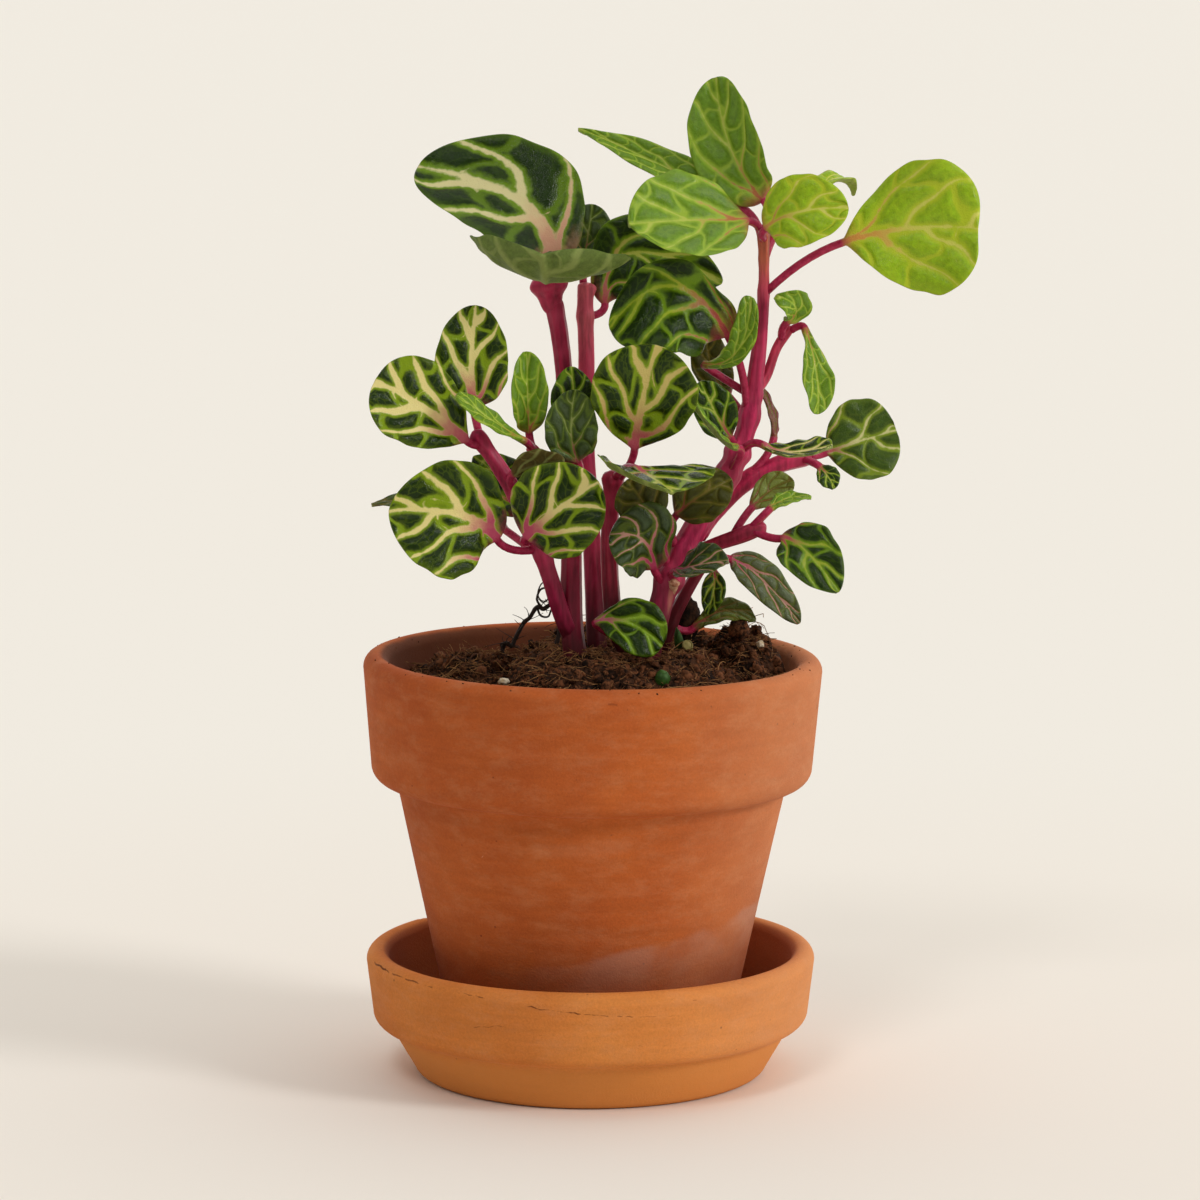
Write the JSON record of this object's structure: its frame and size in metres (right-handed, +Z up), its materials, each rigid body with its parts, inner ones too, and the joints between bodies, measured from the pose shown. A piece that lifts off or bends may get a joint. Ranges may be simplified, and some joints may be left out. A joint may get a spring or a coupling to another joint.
{
  "type": "potted bloodleaf plant in a clay pot with saucer",
  "caption": "Bushy house plant with crimson stems and round, cream-veined leaves, growing in a collared terracotta pot that stands in a deep clay saucer.",
  "frame": {"origin": "centre of the saucer's foot, on the surface that it stands on", "axes": "+Z up, -Y the side the plant faces, +X to the right seen from the front"},
  "size_m": [0.1455, 0.11, 0.2385],
  "materials": {
    "fired_clay": "unglazed, thrown and fired, matte with lime bloom",
    "saucer_clay": "unglazed, matte",
    "potting_soil": "loose peat with coir fibres",
    "crimson_stem": "fleshy, satin",
    "dark_leaf": "waxy, semi-gloss",
    "bright_leaf": "waxy, semi-gloss",
    "olive_leaf": "satin underside",
    "dry_root": "dry, matte"
  },
  "bodies": {
    "root": {"saucer": "saucer_clay", "pot": "fired_clay", "soil": "potting_soil", "stem_trunk_left": "crimson_stem", "stem_shoot_left": "crimson_stem", "stem_trunk_middle": "crimson_stem", "stem_trunk_centre": "crimson_stem", "stem_trunk_right": "crimson_stem", "stem_shoot_upper_right": "crimson_stem", "stem_shoot_right": "crimson_stem", "stem_shoot_lower_right": "crimson_stem", "stem_side_shoot": "crimson_stem", "stem_shoot_small": "crimson_stem", "dry_root": "dry_root", "leaf_crown_tall": "bright_leaf", "leaf_crown_long": "bright_leaf", "leaf_crown_front": "bright_leaf", "leaf_crown_right": "bright_leaf", "leaf_crown_far": "bright_leaf", "leaf_fan_right": "bright_leaf", "leaf_mid_round": "dark_leaf", "leaf_spoon_curl": "dark_leaf", "leaf_curl_top": "bright_leaf", "leaf_curl_hang": "bright_leaf", "leaf_olive_back": "olive_leaf", "leaf_bowl_rear": "dark_leaf", "leaf_bowl_front": "dark_leaf", "leaf_bowl_grey": "olive_leaf", "leaf_fan_middle": "dark_leaf", "leaf_hero_centre": "dark_leaf", "leaf_hero_under": "dark_leaf", "leaf_mid_dark": "dark_leaf", "leaf_mid_grey": "dark_leaf", "leaf_pair_left": "dark_leaf", "leaf_pair_up": "dark_leaf", "leaf_small_bright": "dark_leaf", "leaf_small_fold": "dark_leaf", "leaf_small_olive": "olive_leaf", "leaf_dark_behind": "dark_leaf", "leaf_low_left": "dark_leaf", "leaf_low_middle": "dark_leaf", "leaf_tip_left": "olive_leaf", "leaf_dark_glossy": "dark_leaf", "leaf_sway_left": "dark_leaf", "leaf_sway_right": "dark_leaf", "leaf_right_round": "dark_leaf", "leaf_right_small": "dark_leaf", "leaf_right_olive": "dark_leaf", "leaf_right_point": "dark_leaf", "leaf_low_right": "dark_leaf", "leaf_thin_strip": "dark_leaf", "leaf_olive_right": "olive_leaf", "leaf_olive_left": "olive_leaf", "leaf_round_dark": "dark_leaf", "leaf_round_partner": "dark_leaf", "leaf_long_pointed": "olive_leaf", "leaf_hang_small": "dark_leaf", "leaf_soil_bud": "olive_leaf", "leaf_soil_front": "dark_leaf"}
  },
  "joints": []
}
